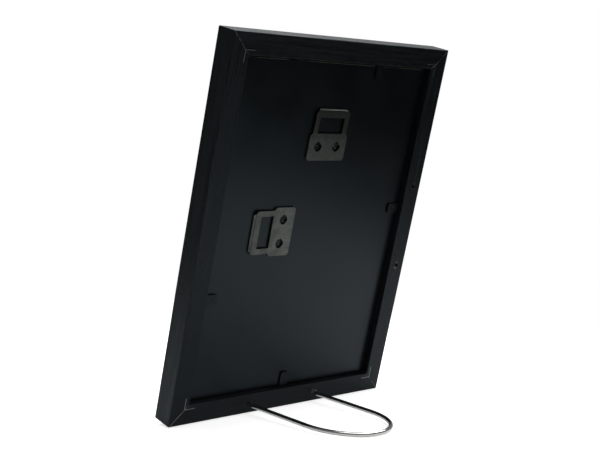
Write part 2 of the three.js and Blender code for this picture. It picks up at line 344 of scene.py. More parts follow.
def hole_wood():
    """The drilled wall of a stand hole: dull, fibrous wood."""
    finish = Finish("drilled wood", Specular_IOR_Level=0.2)
    specks = finish.noise(finish.place(), 1900, 5, 0.7)
    finish.colour(finish.mix(finish.spread(specks, 0.3, 0.7),
                             rgb(0.020, 0.020, 0.017), rgb(0.11, 0.11, 0.095)))
    finish.roughness(0.92)
    finish.bump((specks, 0.0003, 0.9))
    return finish.material


def board_film():
    """Satin black film on fibreboard, with a faint orange peel and light scuffs."""
    finish = Finish("board film", Specular_IOR_Level=0.29, Specular_Tint=COOL_SHEEN)
    plain = finish.place()
    peel = finish.noise(plain, 620, 3)
    fine = finish.noise(plain, 2600, 2)
    cloud = finish.noise(plain, 18, 4)
    scuffs = finish.spread(finish.noise(finish.place((1, 1, 5), (0, 0.5, 0)), 300, 6, 0.75), 0.66, 0.8)
    tone = finish.mix(finish.spread(cloud, 0.35, 0.65),
                      rgb(0.0028, 0.0037, 0.0040), rgb(0.0046, 0.0058, 0.0062))
    finish.colour(finish.mix(finish.math("MULTIPLY", scuffs, 0.35), tone, rgb(0.03, 0.032, 0.034)))
    finish.roughness(finish.spread(cloud, 0.3, 0.7, 0.27, 0.36))
    finish.bump((peel, 0.00010, 0.22), (fine, 0.00003, 0.35))
    return finish.material


def board_edge():
    """The board's sawn edge: bare pressed fibre, olive brown, with traces of film."""
    finish = Finish("sawn board edge", Specular_IOR_Level=0.2)
    plain = finish.place()
    fibre = finish.noise(plain, 1700, 5, 0.7)
    patches = finish.noise(plain, 45, 3)
    bare = finish.mix(fibre, rgb(0.070, 0.072, 0.052), rgb(0.24, 0.24, 0.18))
    finish.colour(finish.mix(finish.spread(patches, 0.46, 0.6), bare, rgb(0.010, 0.011, 0.010)))
    finish.roughness(0.85)
    finish.bump((fibre, 0.0002, 0.7))
    return finish.material


def brushed_steel(name, stretch, tone=(0.120, 0.132, 0.122), painted_shade=None):
    """Zinc-plated sheet steel, brushed along one way, with dull blotches and fine scratches.
    The last argument gives the axis, first and last place and depth of a patch of painted shade across
    a plate, which ends in a darker line of painted shade beside its fold."""
    finish = Finish(name, Metallic=1.0)
    brushed = finish.place(stretch)
    plain = finish.place()
    lines = finish.noise(brushed, 1, 5, 0.7)
    blotches = finish.noise(plain, 130, 4, 0.6)
    spangle = finish.noise(plain, 700, 3)
    bright = rgb(*tone)
    dull = rgb(*[0.78 * channel for channel in tone])
    scratch = rgb(*[0.5 * channel for channel in tone])
    mixed = finish.mix(finish.spread(blotches, 0.4, 0.66), bright, dull)
    mixed = finish.mix(finish.spread(lines, 0.52, 0.75), mixed, scratch)
    # painted shade: the plate is darkened from a little before its step to its fold, and more in a
    # thin line just before the fold
    if painted_shade:
        axis, first, last, depth = painted_shade
        along = finish.add("SeparateXYZ", Vector=plain).outputs[axis]
        patch = finish.spread(along, first, first + SHADE_FADE, 0.0, depth)
        crease_shade = finish.spread(along, last - FOLD_SHADE, last - FOLD_SHADE / 2, 0.0, 0.6)
        ended = finish.spread(along, last, last + FOLD_FADE, 1.0, 0.0)
        share = finish.math("MULTIPLY", finish.math("MAXIMUM", patch, crease_shade), ended)
        mixed = finish.mix(share, mixed, rgb(0.012, 0.014, 0.011))
    finish.colour(mixed)
    finish.roughness(finish.spread(blotches, 0.3, 0.7, 0.34, 0.5))
    finish.bump((lines, 0.00006, 0.5), (spangle, 0.00008, 0.25))
    return finish.material


def shaded_claw_steel():
    """Claw steel darkened to near black as painted shade for the shade down in the claw holes, mottled
    with paler patches.
    """
    finish = Finish("claw steel, painted shade", Metallic=1.0)
    plain = finish.place()
    torn = finish.noise(plain, 1100, 5, 0.7)
    fine = finish.noise(plain, 2600, 3)
    # painted shade: near-black steel with paler mottling, in place of the shade inside the claw holes
    finish.colour(finish.mix(finish.spread(torn, 0.46, 0.57),
                             rgb(0.012, 0.015, 0.012), rgb(0.17, 0.19, 0.16)))
    finish.roughness(finish.spread(fine, 0.3, 0.7, 0.32, 0.55))
    finish.bump((torn, 0.0003, 0.8), (fine, 0.0001, 0.5))
    return finish.material


def tab_lacquer():
    """Black lacquer on spring steel, with bare specks."""
    finish = Finish("tab lacquer", Specular_IOR_Level=0.24, Specular_Tint=COOL_SHEEN)
    plain = finish.place()
    cloud = finish.noise(plain, 240, 4)
    specks = finish.spread(finish.noise(plain, 1500, 4), 0.66, 0.74)
    tone = finish.mix(cloud, rgb(0.0036, 0.0046, 0.0050), rgb(0.0062, 0.0076, 0.0082))
    finish.colour(finish.mix(finish.math("MULTIPLY", specks, 0.4), tone, rgb(0.06, 0.062, 0.062)))
    finish.roughness(finish.spread(cloud, 0.3, 0.7, 0.3, 0.45))
    finish.bump((finish.noise(plain, 1800, 3), 0.00005, 0.3))
    return finish.material


def chrome():
    """Bright plated wire with faint drawing marks."""
    finish = Finish("plated wire", Metallic=1.0)
    plain = finish.place()
    marks = finish.noise(finish.place((900, 30, 900), (WIRE_TILT, 0, 0)), 1.4, 4, 0.6)
    cloud = finish.noise(plain, 90, 3)
    finish.colour(finish.mix(finish.spread(cloud, 0.35, 0.7),
                             rgb(0.86, 0.86, 0.84), rgb(0.74, 0.74, 0.71)))
    finish.roughness(finish.spread(cloud, 0.3, 0.7, 0.05, 0.11))
    finish.bump((marks, 0.00003, 0.18))
    return finish.material


def clear_acrylic():
    """Clear glazing, with a trace of smears."""
    finish = Finish("clear glazing", Transmission_Weight=1.0, IOR=1.49)
    smears = finish.noise(finish.place((1, 1, 3)), 22, 5)
    finish.colour(rgb(0.97, 0.99, 0.985))
    finish.roughness(finish.spread(smears, 0.5, 0.75, 0.0, 0.05))
    finish.bump((finish.noise(finish.place(), 9, 1), 0.0002, 0.05))
    return finish.material


def card(name, tone, shade):
    """Uncoated card, with pulp fibres."""
    finish = Finish(name, Specular_IOR_Level=0.25)
    plain = finish.place()
    pulp = finish.noise(plain, 900, 6, 0.7)
    fibres = finish.noise(finish.place((2600, 400, 500), (0, 0.6, 0)), 1, 4)
    finish.colour(finish.mix(finish.spread(pulp, 0.3, 0.7), rgb(*shade), rgb(*tone)))
    finish.roughness(0.88)
    finish.bump((pulp, 0.0001, 0.4), (fibres, 0.00006, 0.3))
    return finish.material


def hills_print():
    """A plain printed picture: pale sky over three soft ridges of hills."""
    finish = Finish("printed paper", Specular_IOR_Level=0.3)
    level = finish.place()
    height = finish.add("SeparateXYZ", Vector=level).outputs[2]
    shown = finish.mix(finish.spread(height, 0.17, 0.33),
                       rgb(0.86, 0.80, 0.68), rgb(0.42, 0.58, 0.70))
    ridges = (
        (0.190, 9, rgb(0.42, 0.50, 0.50)),
        (0.150, 13, rgb(0.24, 0.34, 0.31)),
        (0.105, 17, rgb(0.10, 0.18, 0.14)),
    )
    for base, scale, tone in ridges:
        across = finish.add("Mapping", Vector=level, Scale=(1, 0, 0), Location=(base * 40, 0, 0))
        swell = finish.noise(across.outputs[0], scale, 3, 0.45)
        line = finish.math("MULTIPLY_ADD", swell, 0.07)
        line.node.inputs[2].default_value = base - 0.035
        below = finish.spread(finish.math("SUBTRACT", line, height), -0.0004, 0.0004)
        shown = finish.mix(below, shown, tone)
    finish.colour(shown)
    finish.roughness(finish.spread(finish.noise(level, 700, 4), 0.3, 0.7, 0.45, 0.6))
    finish.bump((finish.noise(level, 1200, 4), 0.00004, 0.3))
    return finish.material


PAINT_ACROSS = rail_paint("rail paint, across", GRAIN_ALONG_X)
PAINT_UPRIGHT = rail_paint("rail paint, upright", GRAIN_ALONG_Z)
ARRIS_ACROSS = rail_paint("rubbed arris, across", GRAIN_ALONG_X, 0.55)
ARRIS_UPRIGHT = rail_paint("rubbed arris, upright", GRAIN_ALONG_Z, 0.55)
RAW_WOOD = raw_wood()
HOLE_WOOD = hole_wood()
BOARD_FILM = board_film()
BOARD_EDGE = board_edge()
NAIL_STEEL = brushed_steel("corner nail steel", (900, 900, 900), tone=(0.34, 0.34, 0.32))


def plate_shade(name, axis, depth):
    """Where a plate's painted shade lies, from a little before its step to its bent flange, along x or
    z.
    """
    low, high = unleaned_box(f"hanger_plate_{name}")
    first = low[axis] + (PLATE_STEP - SHADE_START) * MM
    return axis, first, high[axis] - FLANGE * MM, depth


# painted shade: deep on the upright plate, faint on the one lying across
PLATE_STEEL = {
    "portrait": brushed_steel("hanger steel, upright", (2600, 2600, 60),
                              painted_shade=plate_shade("portrait", 2, 0.62)),
    "landscape": brushed_steel("hanger steel, across", (60, 2600, 2600),
                               painted_shade=plate_shade("landscape", 0, 0.2)),
}
SHADED_CLAW_STEEL = shaded_claw_steel()
TAB_LACQUER = tab_lacquer()
CHROME = chrome()
GLAZING = clear_acrylic()
MAT_FACE = card("mat card", (0.86, 0.84, 0.78), (0.78, 0.76, 0.70))
MAT_CORE = card("mat core", (0.93, 0.93, 0.91), (0.88, 0.88, 0.86))
PRINT_FACE = hills_print()
PRINT_BACK = card("paper back", (0.80, 0.79, 0.76), (0.74, 0.73, 0.70))


# ---- Mesh helpers, all in millimetres ----

def rounded(corners, steps=ARC_STEPS, support=SUPPORT):
    """Points of an outline whose corners, given as (a, b, radius), are rounded. Each point is
    (a, b, on_arc). A short flat strip is kept on both sides of each rounding."""
    points = []
    for index, (a, b, radius) in enumerate(corners):
        here = Vector((a, b))
        before = (Vector(corners[index - 1][:2]) - here).normalized()
        after = (Vector(corners[(index + 1) % len(corners)][:2]) - here).normalized()
        if radius <= 0:
            points.append((a, b, False))
            continue
        half = before.angle(after) / 2
        reach = radius / math.tan(half)
        middle = here + (before + after).normalized() * (radius / math.sin(half))
        first = here + before * reach - middle
        last = here + after * reach - middle
        if support:
            points.append((*(here + before * (reach + support)), False))
        sweep = first.angle(last)
        for step in range(steps + 1):
            share = step / steps
            weight = [math.sin((1 - share) * sweep), math.sin(share * sweep)]
            spot = middle + (first * weight[0] + last * weight[1]) / math.sin(sweep)
            points.append((*spot, True))
        if support:
            points.append((*(here + after * (reach + support)), False))
    return points


def mesh_object(name, bm, materials=()):
    """An object made of a bmesh, which is then freed. Faces of the closed shell point outwards."""
    bmesh.ops.recalc_face_normals(bm, faces=bm.faces)
    mesh = bpy.data.meshes.new(name)
    bm.to_mesh(mesh)
    bm.free()
    for material in materials:
        mesh.materials.append(material)
    made = bpy.data.objects.new(name, mesh)
    bpy.context.scene.collection.objects.link(made)
    return made


def bridge(bm, first, second, material=0):
    """A band of faces between two closed rings of points."""
    band = []
    for index, here in enumerate(first):
        after = (index + 1) % len(first)
        face = bm.faces.new([here, first[after], second[after], second[index]])
        face.material_index = material
        band.append(face)
    return band


def turn_outwards(piece):
    """Makes the faces of a piece's closed shells point outwards."""
    bm = bmesh.new()
    bm.from_mesh(piece.data)
    bmesh.ops.recalc_face_normals(bm, faces=bm.faces)
    bm.to_mesh(piece.data)
    bm.free()


def prism(points, low, high, axes, material=0):
    """A closed prism. axes names which of x, y, z the outline's two numbers and the length are."""
    order = ["xyz".index(letter) for letter in axes]
    bm = bmesh.new()
    rings = []
    for level in (low, high):
        ring = []
        for point in points:
            spot = [0, 0, 0]
            for axis, number in zip(order, (point[0], point[1], level)):
                spot[axis] = number
            ring.append(bm.verts.new(spot))
        rings.append(ring)
    bridge(bm, *rings, material)
    for ring in rings:
        bm.faces.new(ring).material_index = material
    return bm


def box_outline(low, high):
    """A rectangle's four corners, from its lowest and highest corners."""
    return [(low[0], low[1]), (high[0], low[1]), (high[0], high[1]), (low[0], high[1])]


def plain_mesh(piece):
    """The mesh of an object with its modifiers applied."""
    graph = bpy.context.evaluated_depsgraph_get()
    graph.update()
    return bpy.data.meshes.new_from_object(piece.evaluated_get(graph))


def apply_modifiers(piece):
    mesh = plain_mesh(piece)
    piece.modifiers.clear()
    piece.data = mesh
    return piece


def carve(piece, cutters, operation="DIFFERENCE"):
    """Cuts the piece by each cutter, or keeps what they share, and removes the cutters."""
    for cutter in cutters:
        modifier = piece.modifiers.new("carve", "BOOLEAN")
        modifier.operation = operation
        modifier.solver = "EXACT"
        modifier.object = cutter
    apply_modifiers(piece)
    for cutter in cutters:
        bpy.data.objects.remove(cutter)


def soften(piece, width, segments=2, angle=30):
    """Rounds the sharp edges of a piece, keeping its flat faces flat."""
    piece.data.shade_smooth()
    modifier = piece.modifiers.new("edge", "BEVEL")
    modifier.width = width
    modifier.segments = segments
    modifier.limit_method = "ANGLE"
    modifier.angle_limit = math.radians(angle)
    modifier.harden_normals = True
    return apply_modifiers(piece)


def fit(piece, body, slot, *nodes, axes=None, sharp=38):
    """Puts a finished piece where the design has it, on its body, in place of its nodes."""
    piece.data.transform(PLACE @ (axes or Matrix.Identity(4)))
    if sharp:
        piece.data.shade_smooth()
        piece.data.set_sharp_from_angle(angle=math.radians(sharp))
    piece.data.update()
    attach(piece, body)
    if nodes:
        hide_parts(*nodes)


# ---- Geometry Nodes helpers ----

class Growth:
    """A Geometry Nodes tree with named sizes, which ends in Realize Instances and Set Material."""

    def __init__(self, name, sizes):
        self.tree = bpy.data.node_groups.new(name, "GeometryNodeTree")
        self.sockets = {}
        for label in sizes:
            kind = "NodeSocketInt" if label in ("Count", "Seed") else "NodeSocketFloat"
            made = self.tree.interface.new_socket(label, in_out="INPUT", socket_type=kind)
            self.sockets[label] = made.identifier
        made = self.tree.interface.new_socket("Material", in_out="INPUT",
                                              socket_type="NodeSocketMaterial")
        self.sockets["Material"] = made.identifier
        self.tree.interface.new_socket("Geometry", in_out="OUTPUT",
                                       socket_type="NodeSocketGeometry")
        self.inputs = self.tree.nodes.new("NodeGroupInput").outputs

    def add(self, kind, settings=None, output=0, **inputs):
        prefix = "" if kind.startswith(("Function", "Shader")) else "GeometryNode"
        made = self.tree.nodes.new(prefix + kind)
        for label, value in (settings or {}).items():
            setattr(made, label, value)
        for label, value in inputs.items():
            self.set(made.inputs[label.replace("_", " ")], value)
        return made.outputs[output]

    def set(self, socket, value):
        if isinstance(value, bpy.types.NodeSocket):
            self.tree.links.new(value, socket)
        else:
            socket.default_value = value

    def math(self, operation, first, second=0.0, third=0.0):
        made = self.tree.nodes.new("ShaderNodeMath")
        made.operation = operation
        for socket, value in zip(made.inputs, (first, second, third)):
            self.set(socket, value)
        return made.outputs[0]

    def chance(self, low, high, seed):
        """A random number for each point or instance."""
        made = self.add("FunctionNodeRandomValue", {"data_type": "FLOAT"}, output=1, Seed=seed)
        self.set(made.node.inputs[2], low)
        self.set(made.node.inputs[3], high)
        return made

    def vector(self, x=0.0, y=0.0, z=0.0):
        return self.add("ShaderNodeCombineXYZ", X=x, Y=y, Z=z)

    def parts(self, vector):
        made = self.tree.nodes.new("ShaderNodeSeparateXYZ")
        self.set(made.inputs[0], vector)
        return made.outputs

    def join(self, *meshes):
        made = self.tree.nodes.new("GeometryNodeJoinGeometry")
        for mesh in meshes:
            self.tree.links.new(mesh, made.inputs[0])
        return made.outputs[0]

    def thicken(self, sheet, offset):
        """A closed shell from an open sheet and the sheet moved along the offset."""
        moved = self.add("ExtrudeMesh", Mesh=sheet, Offset=offset, Individual=False)
        under = self.add("FlipFaces", Mesh=sheet)
        return self.add("MergeByDistance", Geometry=self.join(moved, under), Distance=0.0005)

    def end(self, geometry):
        real = self.add("RealizeInstances", Geometry=geometry)
        shown = self.add("SetMaterial", Geometry=real, Material=self.inputs["Material"])
        out = self.tree.nodes.new("NodeGroupOutput")
        self.tree.links.new(shown, out.inputs[0])

    def grow(self, name, material, **sizes):
        """A plain mesh object made by the tree with these sizes."""
        host = bpy.data.objects.new(name, bpy.data.meshes.new(name))
        bpy.context.scene.collection.objects.link(host)
        modifier = host.modifiers.new("growth", "NODES")
        modifier.node_group = self.tree
        modifier[self.sockets["Material"]] = material
        for label, value in sizes.items():
            modifier[self.sockets[label.replace("_", " ")]] = value
        host.data = plain_mesh(host)
        host.modifiers.clear()
        return host


# ---- Rails ----

def rail_section():
    """The rail's section as (y, z, on_arc), with its arrises rounded."""
    return rounded([
        (0, 0, OUTER_ARRIS),
        (0, RAIL_BACK, INNER_ARRIS),
        (-LIP_INNER, RAIL_BACK, REBATE_ROUND),
        (-LIP_INNER, RAIL_FRONT, INNER_ARRIS),
        (-DEPTH + LIP_BEVEL, RAIL_FRONT, BEVEL_ROUND),
        (-DEPTH, RAIL_FRONT - LIP_BEVEL, BEVEL_ROUND),
        (-DEPTH, 0, OUTER_ARRIS),
    ])


def inset(section, distances):
    """The section with each point moved inwards by its own small distance."""
    moved = []
    for index, (y, z, _) in enumerate(section):
        before = Vector(section[index - 1][:2])
        after = Vector(section[(index + 1) % len(section)][:2])
        along = (after - before).normalized()
        moved.append(Vector((y, z)) + Vector((-along.y, along.x)) * distances[index])
    return moved


PAINT, ARRIS, RAW, DRILLED = range(4)


def mitred_bar(length, chips, materials):
    """A rail with mitred ends, where the paint is chipped back to raw wood. chips has the depths
    of the chipping, at its outer and inner ends, for the lowest and highest x."""
    section = rail_section()
    half = length / 2 - MITRE_GAP / math.sqrt(2)
    bm = bmesh.new()
    rings = []
    for hand, (outer, inner) in zip((-1, 1), chips):
        depths = [outer + (inner - outer) * min(z / RAIL_BACK, 1) for _, z, _ in section]
        end = [bm.verts.new((hand * (half - z), y, z)) for y, z in inset(section, depths)]
        painted = [bm.verts.new((hand * (half - depth * math.sqrt(2) - z), y, z))
                   for depth, (y, z, _) in zip(depths, section)]
        rings += [end, painted] if hand < 0 else [painted, end]
    bands = [bridge(bm, *pair, kind) for *pair, kind in zip(rings, rings[1:], (RAW, PAINT, RAW))]
    for index, face in enumerate(bands[1]):
        if section[index][2] and section[(index + 1) % len(section)][2]:
            face.material_index = ARRIS
    for ring in (rings[0], rings[-1]):
        bm.faces.new(ring).material_index = RAW
    return mesh_object("bar", bm, materials)


def ragged_hole(x, seed, materials):
    """A drilled hole, at the wire's slope, whose mouth has broken away in ragged flakes."""
    bm = bmesh.new()
    rings = []
    turn = Matrix.Translation((x, 0, HOLE_HEIGHT)) @ Matrix.Rotation(WIRE_TILT, 4, "X")
    for level, flare in (*HOLE_MOUTH, (-WIRE_DEEP - HOLE_SPARE, 1.0)):
        ring = []
        for step in range(HOLE_SIDES):
            angle = 2 * math.pi * step / HOLE_SIDES
            lobes = math.sin(3 * angle + seed) + 0.6 * math.sin(7 * angle + 2.3 * seed)
            jag = 0.5 * math.sin(13 * angle + 5.1 * seed)
            ragged = 1 + (flare - 1) * (0.75 + 0.32 * (lobes + jag))
            radius = HOLE_RADIUS * max(ragged, 1.0)
            spot = Vector((radius * math.cos(angle), level, radius * math.sin(angle)))
            ring.append(bm.verts.new(turn @ spot))
        rings.append(ring)
    for number, pair in enumerate(zip(rings, rings[1:])):
        bridge(bm, *pair, RAW if number < TORN_BANDS else DRILLED)
    for ring in (rings[0], rings[-1]):
        bm.faces.new(ring).material_index = DRILLED
    return mesh_object("drill", bm, materials)


def flake_growth():
    """Rough flakes scattered about a ring, drawn flat: z out of the surface."""
    growth = Growth("torn flakes", ("Radius", "Scatter", "Length", "Breadth", "Rise", "Count", "Seed"))
    size = growth.inputs
    seeds = [growth.math("ADD", size["Seed"], step) for step in range(1, 5)]
    ring = growth.add("MeshCircle", Vertices=size["Count"], Radius=size["Radius"])
    x, y, _ = growth.parts(growth.add("InputPosition"))
    outward = growth.math("ARCTAN2", y, x)
    push = growth.math("MULTIPLY", growth.chance(-0.5, 0.5, seeds[0]), size["Scatter"])
    shift = growth.vector(growth.math("MULTIPLY", growth.math("COSINE", outward), push),
                          growth.math("MULTIPLY", growth.math("SINE", outward), push))
    spots = growth.add("SetPosition", Geometry=ring, Offset=shift)
    flake = growth.add("MeshIcoSphere", Radius=0.5, Subdivisions=2)
    grain = growth.add("ShaderNodeTexNoise", Scale=2.3)
    rough = growth.add("SetPosition", Geometry=flake, Offset=growth.vector(
        growth.math("MULTIPLY_ADD", grain, 0.5, -0.25), growth.math("MULTIPLY_ADD", grain, -0.4, 0.2)))
    turn = growth.math("ADD", outward, growth.chance(-0.6, 0.6, seeds[1]))
    long = growth.math("MULTIPLY", growth.chance(0.4, 1.0, seeds[2]), size["Length"])
    wide = growth.math("MULTIPLY", growth.chance(0.5, 1.0, seeds[3]), size["Breadth"])
    flakes = growth.add("InstanceOnPoints", Points=spots, Instance=rough,
                        Rotation=growth.vector(z=turn),
                        Scale=growth.vector(long, wide, size["Rise"]))
    growth.end(flakes)
    return growth


def make_hole_crumbs():
    growth = flake_growth()
    lying = Matrix.Rotation(-math.pi / 2, 4, "X")
    for name, (seed, share, count) in STAND_HOLES.items():
        for number, x in enumerate((-WIRE_SPREAD, WIRE_SPREAD)):
            crumbs = growth.grow(
                f"{name}_hole_crumbs_{number + 1}", RAW_WOOD, Radius=HOLE_RADIUS * share,
                Count=count, Seed=7 * number + seed, **CRUMBS,
            )
            place = Matrix.Translation((x, -CRUMB_SUNK, HOLE_HEIGHT))
            fit(crumbs, "frame", "rail", axes=side_axes(name) @ place @ lying)


def nail_outline(grow):
    """The L of a nail's two legs, from its apex, made larger all round."""
    low = -NAIL_THICK / 2 - grow
    high = NAIL_THICK / 2 + grow
    end = NAIL_LEG + grow
    return [(low, low), (end, low), (end, high), (high, high), (high, end), (low, end)]


def tab_place(name):
    """The middle of a tab's bending line, in its side's own axes."""
    pivot = Vector(joint(f"tab_{name}_bend")["pos_m"])
    return side_axes(name).inverted() @ (PLACE.inverted() @ pivot)


def rail_cutters(name, materials):
    """What is cut out of a rail: its tab's slot, two halves of the nails' slots and any holes."""
    length = SIDES[name][0]
    pivot = tab_place(name)
    half = TAB_WIDTH / 2 + TAB_SLOT_GAP
    deep = TAB_ROOT + TAB_SLOT_GAP
    slot = box_outline((pivot.x - half, RAIL_BACK - deep), (pivot.x + half, RAIL_BACK + PAST))
    low = pivot.y - TAB_PIVOT - deep
    high = pivot.y + TAB_THICK / 2 + TAB_SLOT_GAP
    cutters = [mesh_object("slot", prism(slot, low, high, "xzy", DRILLED), materials)]
    for end in (-1, 1):
        outline = [(end * (a - length / 2 + NAIL_APEX), b + NAIL_APEX)
                   for a, b in nail_outline(NAIL_SLOT_GAP)]
        bm = prism(outline, -NAIL_DEEP - NAIL_SLOT_GAP, PAST, "xzy", DRILLED)
        cutters.append(mesh_object("slot", bm, materials))
    if name in STAND_HOLES:
        seed = STAND_HOLES[name][0]
        for number, x in enumerate((-WIRE_SPREAD, WIRE_SPREAD)):
            cutters.append(ragged_hole(x, 1.7 * number + seed, materials))
    return cutters


def make_rails():
    for name, (length, turn, _) in SIDES.items():
        across = turn % 180 == 0
        materials = (
            PAINT_ACROSS if across else PAINT_UPRIGHT,
            ARRIS_ACROSS if across else ARRIS_UPRIGHT,
            RAW_WOOD,
            HOLE_WOOD,
        )
        chips = [MITRE_CHIPS[corner] for corner in SIDE_CORNERS[name]]
        bar = mitred_bar(length, chips, materials)
        carve(bar, rail_cutters(name, materials))
        bar.name = f"{name}_rail"
        fit(bar, "frame", "rail", f"rail_{name}", axes=side_axes(name), sharp=24)


# ---- Corner nails ----

def nail_growth():
    """Four bent steel strips, one across each mitre, drawn in a flat plane: x across, y up."""
    growth = Growth("corner nails", (
        "Across", "Up", "Leg", "Thickness", "Deep", "Sunk", "Bend",
    ))
    size = growth.inputs
    leg = growth.add("CurvePrimitiveLine", Start=growth.vector(x=size["Leg"]))
    growth.set(leg.node.inputs["End"], (0, 0, 0))
    other = growth.add("CurvePrimitiveLine", Start=(0, 0, 0))
    growth.set(other.node.inputs["End"], growth.vector(y=size["Leg"]))
    path = growth.add("CurveToMesh", Curve=growth.join(leg, other))
    path = growth.add("MergeByDistance", Geometry=path, Distance=0.001)
    path = growth.add("MeshToCurve", Mesh=path)
    path = growth.add("FilletCurve", {"mode": "POLY"}, Curve=path, Radius=size["Bend"], Count=5)
    half = growth.math("MULTIPLY", size["Thickness"], 0.5)
    start = growth.vector(x=growth.math("MULTIPLY", half, -1.0))
    width = growth.add("CurvePrimitiveLine", Start=start)
    growth.set(width.node.inputs["End"], growth.vector(x=half))
    ribbon = growth.add("CurveToMesh", Curve=path, Profile_Curve=width)
    strip = growth.thicken(ribbon, growth.vector(z=size["Deep"]))
    corners = growth.add("MeshGrid", Size_X=size["Across"], Size_Y=size["Up"],
                         Vertices_X=2, Vertices_Y=2)
    place = growth.parts(growth.add("InputPosition"))
    inward = [growth.math("MULTIPLY", growth.math("SIGN", part), -1.0) for part in place[:2]]
    turn = growth.math("SUBTRACT", growth.math("ARCTAN2", inward[1], inward[0]), math.pi / 4)
    nails = growth.add("InstanceOnPoints", Points=corners, Instance=strip,
                       Rotation=growth.vector(z=turn))
    growth.end(growth.add("Transform", Geometry=nails, Translation=growth.vector(z=size["Sunk"])))
    return growth


def make_corner_nails():
    nails = nail_growth().grow(
        "corner_nails", NAIL_STEEL,
        Across=WIDTH - 2 * NAIL_APEX, Up=HEIGHT - 2 * NAIL_APEX, Leg=NAIL_LEG,
        Thickness=NAIL_THICK, Deep=NAIL_DEEP, Sunk=NAIL_SUNK, Bend=NAIL_BEND,
    )
    turn_outwards(nails)
    standing = Matrix.Translation((0, 0, HEIGHT / 2)) @ Matrix.Rotation(math.pi / 2, 4, "X")
    nodes = [f"corner_nail_{level}_{hand}" for level in ("bottom", "top")
             for hand in ("left", "right")]
    fit(nails, "frame", "nail_steel", *nodes, axes=standing)


# ---- Retaining tabs ----

def tab_growth():
    """A thin steel tab lying flat: x across, y from the wall to the tip, z up."""
    growth = Growth("retaining tab", (
        "Width", "Reach", "Root", "Thickness", "Round", "Dimple", "Dimple At", "Dimple Depth", "Lift",
    ))
    size = growth.inputs
    long = growth.math("ADD", size["Reach"], size["Root"])
    grid = growth.add("MeshGrid", Size_X=size["Width"], Size_Y=long, Vertices_X=25, Vertices_Y=49)
    middle = growth.math("MULTIPLY", growth.math("SUBTRACT", size["Reach"], size["Root"]), 0.5)
    moved = growth.add("Transform", Geometry=grid, Translation=growth.vector(y=middle))
    x, y, _ = growth.parts(growth.add("InputPosition"))
    past = growth.math("SUBTRACT", y, growth.math("SUBTRACT", size["Reach"], size["Round"]))
    past = growth.math("MAXIMUM", past, 0.0)
    across = growth.math("SUBTRACT", growth.math("POWER", size["Round"], 2.0),
                         growth.math("POWER", past, 2.0))
    across = growth.math("SQRT", growth.math("MAXIMUM", across, 0.0))
    half = growth.math("MULTIPLY", size["Width"], 0.5)
    room = growth.math("ADD", growth.math("SUBTRACT", half, size["Round"]), across)
    narrowed = growth.math("MULTIPLY", x, growth.math("DIVIDE", room, half))
    aside = growth.math("SUBTRACT", y, size["Dimple At"])
    away = growth.math("SQRT", growth.math("ADD", growth.math("POWER", x, 2.0),
                                           growth.math("POWER", aside, 2.0)))
    near = growth.math("DIVIDE", away, size["Dimple"])
    near = growth.math("SUBTRACT", 1.0, growth.math("MINIMUM", near, 1.0))
    pressed = growth.math("MULTIPLY", growth.math("SMOOTH_MIN", near, 0.55, 0.2),
                          growth.math("MULTIPLY", size["Dimple Depth"], -1.0))
    curl = growth.math("DIVIDE", growth.math("MAXIMUM", y, 0.0), size["Reach"])
    curl = growth.math("MULTIPLY", growth.math("POWER", curl, 2.0), size["Lift"])
    shaped = growth.add("SetPosition", Geometry=moved,
                        Position=growth.vector(narrowed, y, growth.math("ADD", pressed, curl)))
    solid = growth.thicken(shaped, growth.vector(z=size["Thickness"]))
    growth.end(solid)
    return growth


def make_tabs():
    growth = tab_growth()
    lying = Matrix.Rotation(math.pi / 2, 4, "X") @ Matrix.Scale(-1, 4, (0, 0, 1))
    for name in SIDES:
        tab = growth.grow(
            f"{name}_tab", TAB_LACQUER, Width=TAB_WIDTH, Reach=TAB_REACH, Root=TAB_ROOT,
            Thickness=TAB_THICK, Round=TAB_ROUND, Dimple=TAB_DIMPLE, Dimple_At=TAB_DIMPLE_AT,
            Dimple_Depth=TAB_DIMPLE_DEPTH, Lift=TAB_LIFT,
        )
        pivot = tab_place(name)
        tab.data.transform(Matrix.Translation((pivot.x, pivot.y - TAB_THICK / 2, RAIL_BACK)) @ lying)
        turn_outwards(tab)
        soften(tab, TAB_EDGE, 1, 50)
        fit(tab, f"tab_{name}", "tab_steel", f"tab_{name}", axes=side_axes(name), sharp=0)


# ---- Hanger plates, in their own axes: z towards the window end, y out from the board ----

def plate_blank(materials):
    """The plate seen from its edge: flat, then rising, with its window end bent back."""
    start = -PLATE_LENGTH / 2
    end = PLATE_LENGTH / 2
    step = start + PLATE_STEP
    bend = end - FLANGE
    flat = PLATE_GAP + PLATE_THICK
    under = PLATE_GAP + PLATE_RAISE
    over = under + PLATE_THICK
    profile = rounded([
        (PLATE_GAP, start, 0),
        (PLATE_GAP, step, STEP_EASE),
        (under, bend, FOLD_INSIDE),
        (under - FLANGE_DROP, end, 0),
        (over - FLANGE_DROP, end, FLANGE_TIP),
        (over, bend, FOLD_OUTSIDE),
        (flat, step, STEP_EASE),
        (flat, start, 0),
    ], steps=6, support=0)
    return mesh_object("blank", prism(profile, -PLATE_WIDE, PLATE_WIDE, "yzx"), materials)


def plate_outline():
    """The plate seen from behind: wide round its claw holes, narrow round its window."""
    wide = PLATE_WIDE / 2
    narrow = PLATE_NARROW / 2
    start = -PLATE_LENGTH / 2
    end = PLATE_LENGTH / 2
    step = start + PLATE_STEP
    half = [
        (wide - FIXING_CHAMFER, start, FIXING_ROUND), (wide, start + FIXING_CHAMFER, FIXING_ROUND),
        (wide, step, STEP_ROUND), (narrow, step + wide - narrow, STEP_ROUND),
        (narrow, end - WINDOW_CHAMFER, WINDOW_ROUND), (narrow - WINDOW_CHAMFER, end, WINDOW_ROUND),
    ]
    return rounded(half + [(-x, z, radius) for x, z, radius in reversed(half)], 3, 0)


